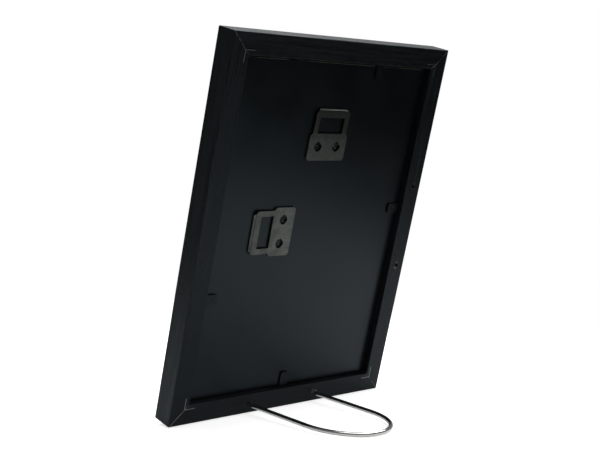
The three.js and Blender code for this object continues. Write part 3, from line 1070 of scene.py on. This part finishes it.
def claw_growth():
    """Eight claws bent down through two square holes, drawn flat: z up out of the board."""
    growth = Growth("hanger claws", (
        "Spacing", "Hole", "Base", "Tip", "Shoulder", "Length", "Thickness", "Top", "Seed",
    ))
    size = growth.inputs
    grid = growth.add("MeshGrid", Size_X=1.0, Size_Y=size["Length"], Vertices_X=9, Vertices_Y=17)
    x, y, _ = growth.parts(growth.add("InputPosition"))
    along = growth.math("ADD", y, growth.math("MULTIPLY", size["Length"], 0.5))
    angle = growth.math("MINIMUM", growth.math("DIVIDE", along, size["Shoulder"]), math.pi / 2)
    straight = growth.math("SUBTRACT", along, growth.math("MULTIPLY", size["Shoulder"], math.pi / 2))
    straight = growth.math("MAXIMUM", straight, 0.0)
    out = growth.math("MULTIPLY", growth.math("SINE", angle), size["Shoulder"])
    fall = growth.math("SUBTRACT", 1.0, growth.math("COSINE", angle))
    fall = growth.math("MULTIPLY_ADD", fall, size["Shoulder"], straight)
    taper = growth.math("DIVIDE", along, size["Length"])
    wide = growth.math("MULTIPLY_ADD", taper, growth.math("SUBTRACT", size["Tip"], size["Base"]),
                       size["Base"])
    spot = growth.vector(growth.math("MULTIPLY", x, wide),
                         growth.math("MULTIPLY", out, -1.0), growth.math("MULTIPLY", fall, -1.0))
    sheet = growth.add("SetPosition", Geometry=grid, Position=spot)
    solid = growth.thicken(sheet, growth.vector(0.0, growth.math(
        "MULTIPLY", growth.math("SINE", angle), size["Thickness"]), growth.math(
        "MULTIPLY", growth.math("COSINE", angle), growth.math("MULTIPLY", size["Thickness"], -1.0))))
    edge = growth.math("MULTIPLY", size["Hole"], 0.5)
    solid = growth.add("Transform", Geometry=solid, Translation=growth.vector(y=edge))
    ring = growth.add("MeshCircle", Vertices=4, Radius=0.001)
    quarter = growth.math("MULTIPLY_ADD", growth.add("InputIndex"), math.pi / 2, math.pi / 4)
    turn = growth.math("ADD", quarter, growth.chance(-0.05, 0.05, size["Seed"]))
    claws = growth.add("InstanceOnPoints", Points=ring, Instance=solid,
                       Rotation=growth.vector(z=turn))
    pair = growth.add("MeshLine", {"mode": "END_POINTS"}, Count=2)
    half = growth.math("MULTIPLY", size["Spacing"], 0.5)
    growth.set(pair.node.inputs["Start Location"], growth.vector(growth.math("MULTIPLY", half, -1.0)))
    growth.set(pair.node.inputs["Offset"], growth.vector(half))
    both = growth.add("InstanceOnPoints", Points=pair, Instance=claws)
    growth.end(growth.add("Transform", Geometry=both, Translation=growth.vector(z=size["Top"])))
    return growth


CLAW_PLACES = (-CLAW_SPACING / 2, CLAW_SPACING / 2)
CLAW_LINE = CLAW_FROM_END - PLATE_LENGTH / 2


def stamped_plate(steel):
    """The bent blank cut to its outline, with its window and two claw holes cut out."""
    top = PLATE_GAP + PLATE_THICK + PLATE_RAISE + PAST
    window_end = PLATE_LENGTH / 2 - WINDOW_BAR
    plate = plate_blank((steel,))
    outline = mesh_object("outline", prism(plate_outline(), -PAST, top, "xzy"))
    carve(plate, [outline], "INTERSECT")
    window = box_outline((-WINDOW_WIDTH / 2, window_end - WINDOW_HEIGHT),
                         (WINDOW_WIDTH / 2, window_end))
    holes = [rounded([(*corner, FIXING_ROUND) for corner in window], 3, 0)]
    reach = CLAW_HOLE / math.sqrt(2)
    for x in CLAW_PLACES:
        tips = ((x - reach, CLAW_LINE), (x, CLAW_LINE - reach),
                (x + reach, CLAW_LINE), (x, CLAW_LINE + reach))
        holes.append(rounded([(*tip, CLAW_ROUND) for tip in tips], 7, 0))
    carve(plate, [mesh_object("hole", prism(hole, -PAST, top, "xzy")) for hole in holes])
    return soften(plate, PLATE_EDGE)


def make_hanger_plates():
    growth = claw_growth()
    flakes = flake_growth()
    lying = Matrix.Translation((0, 0, CLAW_LINE)) @ Matrix.Rotation(-math.pi / 2, 4, "X")
    for name, turn in (("portrait", 0), ("landscape", 90)):
        low, high = design_box(f"hanger_plate_{name}")
        middle = (low + high) / 2
        axes = (Matrix.Translation((middle.x, BOARD_TOP, middle.z))
                @ Matrix.Rotation(math.radians(turn), 4, "Y"))
        plate = stamped_plate(PLATE_STEEL[name])
        plate.name = f"{name}_hanger"
        fit(plate, "frame", "plate_steel", f"hanger_plate_{name}", axes=axes, sharp=0)
        # the claws and the burrs round their holes use the steel darkened with painted shade
        claws = growth.grow(
            f"{name}_hanger_claws", SHADED_CLAW_STEEL, Spacing=CLAW_SPACING, Hole=CLAW_HOLE + CLAW_OVERLAP,
            Base=CLAW_BASE, Tip=CLAW_TIP, Shoulder=CLAW_SHOULDER, Length=CLAW_LENGTH,
            Thickness=CLAW_THICK, Top=PLATE_GAP + PLATE_THICK - CLAW_SUNK, Seed=11 + turn,
        )
        turn_outwards(claws)
        fit(claws, "frame", "plate_steel", axes=axes @ lying)
        for seed, x in enumerate(CLAW_PLACES):
            burrs = flakes.grow(f"{name}_hanger_burrs_{seed + 1}", SHADED_CLAW_STEEL,
                                Seed=5 * seed + turn, **BURRS)
            place = Matrix.Translation((x, 0, BURR_RAISE))
            fit(burrs, "frame", "plate_steel", axes=axes @ lying @ place)


# ---- Board, print, mat and glazing ----

def slab(name, node, arris, materials):
    """A flat sheet with softened edges, the size of its node."""
    low, high = design_box(node)
    outline = box_outline((low.x, low.z), (high.x, high.z))
    sheet = mesh_object(name, prism(outline, low.y, high.y, "xzy"), materials)
    return soften(sheet, arris)


def make_picture_pack():
    board = slab("back_panel", "backboard", BOARD_ARRIS, (BOARD_FILM, BOARD_EDGE))
    for face in board.data.polygons:        # the film ends at the sawn top edge
        face.material_index = 1 if face.normal.z > 0.3 else 0
    fit(board, "frame", "backboard", "backboard", sharp=0)
    glazing = slab("front_glazing", "glazing", GLAZING_ARRIS, (GLAZING,))
    fit(glazing, "frame", "glazing", "glazing", sharp=0)
    paper = slab("picture_print", "print", PAPER_ARRIS, (PRINT_FACE, PRINT_BACK))
    for face in paper.data.polygons:
        face.material_index = 0 if face.normal.y < -0.5 else 1
    fit(paper, "frame", "print_paper", "print", sharp=0)
    make_mat()


def make_mat():
    """The card round the picture, with a bevelled window that is wider at the front."""
    low, high = design_box("mat")
    outline = box_outline((low.x, low.z), (high.x, high.z))
    mat = mesh_object("mat_card", prism(outline, low.y, high.y, "xzy"), (MAT_FACE, MAT_CORE))
    bm = bmesh.new()
    rings = []
    for y, wider in ((low.y - PAST, 1), (high.y + PAST, -1)):
        border = MAT_WINDOW - wider * (PAST + (high.y - low.y) / 2) * MAT_CUT_SLOPE
        half = WIDTH / 2 - border
        window = box_outline((-half, border), (half, HEIGHT - border))
        rings.append([bm.verts.new((x, y, z)) for x, z in window])
    bridge(bm, *rings, 1)
    for ring in rings:
        bm.faces.new(ring).material_index = 1
    carve(mat, [mesh_object("window", bm, (MAT_FACE, MAT_CORE))])
    fit(mat, "frame", "mat_card", "mat", sharp=20)


# ---- Wire stand ----

def wire_point(share):
    """A point of the wire's centreline, for a share from 0 to 1: a third for each leg and a third
    for the bend. x is across and y is out of the holes."""
    straight = WIRE_REACH - WIRE_BEND
    hand = -1 if share < 0.5 else 1
    from_end = 3 * min(share, 1 - share)
    if from_end < 1:
        out = -WIRE_DEEP + (straight + WIRE_DEEP) * from_end
        return Vector((hand * WIRE_SPREAD, out, 0))
    angle = (from_end - 1) * math.pi
    return Vector((hand * WIRE_SPREAD * math.cos(angle), straight + WIRE_BEND * math.sin(angle), 0))


def make_wire_stand():
    points = [wire_point(step / WIRE_STEPS) for step in range(WIRE_STEPS + 1)]
    bm = bmesh.new()
    rings = []
    last = len(points) - 1
    chamfer = WIRE_RADIUS - WIRE_TIP
    ends = {0: ((WIRE_TIP, 0), (WIRE_RADIUS, chamfer)),
            last: ((WIRE_RADIUS, -chamfer), (WIRE_TIP, 0))}
    for index, point in enumerate(points):
        along = (points[min(index + 1, last)] - points[max(index - 1, 0)]).normalized()
        side = along.cross(Vector((0, 0, 1)))
        for radius, forward in ends.get(index, ((WIRE_RADIUS, 0),)):
            ring = []
            for step in range(WIRE_SIDES):
                angle = 2 * math.pi * step / WIRE_SIDES
                aside = side * math.cos(angle) + Vector((0, 0, 1)) * math.sin(angle)
                ring.append(bm.verts.new(point + aside * radius + along * forward))
            rings.append(ring)
    for pair in zip(rings, rings[1:]):
        bridge(bm, *pair)
    bm.faces.new(rings[0])
    bm.faces.new(rings[-1])
    wire = mesh_object("wire_stand", bm, (CHROME,))
    axes = Matrix.Translation((0, 0, HOLE_HEIGHT)) @ Matrix.Rotation(WIRE_TILT, 4, "X")
    fit(wire, "stand_wire", "chrome_wire", "stand_wire", axes=axes)


# ---- Camera, floor and light ----

# In the frame's upright axes, in millimetres
CAMERA_PLACE = Vector((683.8, 693.0, 427.8))
CAMERA_FORWARD = Vector((-0.66976, -0.69769, -0.25425))
CAMERA_RIGHT = Vector((-0.74157, 0.64624, 0.18013))
CAMERA_LENS = 69.17


def make_camera():
    """Looks at the back of the frame, from a little above it and from the side of positive x."""
    camera = bpy.data.objects.new("camera", bpy.data.cameras.new("camera"))
    bpy.context.scene.collection.objects.link(camera)
    camera.data.lens = CAMERA_LENS
    camera.data.clip_start = 0.01
    turn = Matrix((CAMERA_RIGHT, CAMERA_RIGHT.cross(CAMERA_FORWARD), -CAMERA_FORWARD)).transposed()
    camera.matrix_world = (Matrix.Translation(PLACE @ CAMERA_PLACE)
                           @ Matrix.Rotation(-LEAN, 4, "X") @ turn.to_4x4())
    bpy.context.scene.camera = camera


FLOOR_MIDDLE = (0.1, -0.1, -0.0004)
FLOOR_RADIUS = 0.74
FLOOR_SEEN = 0.52           # extra brightness of the table as the camera sees it
FLOOR_TONE = rgb(0.66, 0.66, 0.66)
FLOOR_SEEN_TONE = rgb(0.88, 0.88, 0.88)
FLOOR_GLOW = 0.2            # the floor is a lit product table
FLOOR_SOLID = 0.46          # radius inside which the floor is whole, before it fades out


def make_floor():
    """A round product table, which fades out into the backdrop."""
    bm = bmesh.new()
    bmesh.ops.create_circle(bm, cap_ends=True, segments=96, radius=FLOOR_RADIUS)
    floor = mesh_object("floor", bm)
    floor.location = FLOOR_MIDDLE
    finish = Finish("floor", Specular_IOR_Level=0.1)
    spot = finish.add("TexCoord").outputs["Object"]
    away = finish.add("VectorMath", {"operation": "LENGTH"})
    finish.set(away.inputs[0], spot)
    seen = finish.add("LightPath").outputs["Is Camera Ray"]
    finish.colour(finish.mix(seen, FLOOR_TONE, FLOOR_SEEN_TONE))
    finish.roughness(0.9)
    finish.set(finish.shader.inputs["Emission Color"], rgb(1, 1, 1))
    glow = finish.math("MULTIPLY_ADD", seen, FLOOR_SEEN)
    glow.node.inputs[2].default_value = FLOOR_GLOW
    finish.set(finish.shader.inputs["Emission Strength"], glow)
    shown = finish.spread(away.outputs["Value"], FLOOR_SOLID, FLOOR_RADIUS, 1.0, 0.0)
    finish.set(finish.shader.inputs["Alpha"], shown)
    floor.data.materials.append(finish.material)


SOFTBOX_PLACE = Vector((-0.45, -0.3, 1.6))
SOFTBOX_AIM = Vector((-0.05, 0, 0))
SOFTBOX_SIZE = (2.5, 2.0)
SOFTBOX_POWER = 50


def make_softbox():
    """The one lamp: wide, soft and overhead, and not seen by the camera."""
    lamp = bpy.data.lights.new("overhead softbox", "AREA")
    lamp.shape = "RECTANGLE"
    lamp.size, lamp.size_y = SOFTBOX_SIZE
    lamp.energy = SOFTBOX_POWER
    light = bpy.data.objects.new("overhead softbox", lamp)
    bpy.context.scene.collection.objects.link(light)
    light.location = SOFTBOX_PLACE
    light.rotation_euler = (SOFTBOX_AIM - SOFTBOX_PLACE).to_track_quat("-Z", "Y").to_euler()
    light.visible_camera = False


ROOM_ABOVE = 0.16           # brightness of the room above the floor's level
ROOM_BELOW = 0.03
HORIZON = 0.1               # half the height of the change between the two
ROOM_COLOUR = rgb(0.96, 0.98, 1.0)


def make_room():
    """A pale room that lights the frame, and a white backdrop in the camera's view."""
    world = bpy.data.worlds.new("studio")
    bpy.context.scene.world = world
    world.use_nodes = True
    nodes = world.node_tree.nodes
    links = world.node_tree.links
    nodes["Background"].inputs["Color"].default_value = ROOM_COLOUR
    height = nodes.new("ShaderNodeSeparateXYZ")
    links.new(nodes.new("ShaderNodeTexCoord").outputs["Generated"], height.inputs[0])
    level = nodes.new("ShaderNodeMapRange")
    links.new(height.outputs[2], level.inputs[0])
    for label, value in (("From Min", -HORIZON), ("From Max", HORIZON),
                         ("To Min", ROOM_BELOW), ("To Max", ROOM_ABOVE)):
        level.inputs[label].default_value = value
    links.new(level.outputs[0], nodes["Background"].inputs["Strength"])
    backdrop = nodes.new("ShaderNodeBackground")
    backdrop.inputs["Color"].default_value = rgb(1, 1, 1)
    seen = nodes.new("ShaderNodeLightPath")
    chosen = nodes.new("ShaderNodeMixShader")
    links.new(seen.outputs["Is Camera Ray"], chosen.inputs[0])
    links.new(nodes["Background"].outputs[0], chosen.inputs[1])
    links.new(backdrop.outputs[0], chosen.inputs[2])
    links.new(chosen.outputs[0], nodes["World Output"].inputs[0])
    bpy.context.scene.view_settings.view_transform = "Standard"


make_camera()
make_floor()
make_room()
make_softbox()
make_rails()
make_hole_crumbs()
make_corner_nails()
make_tabs()
make_hanger_plates()
make_picture_pack()
make_wire_stand()
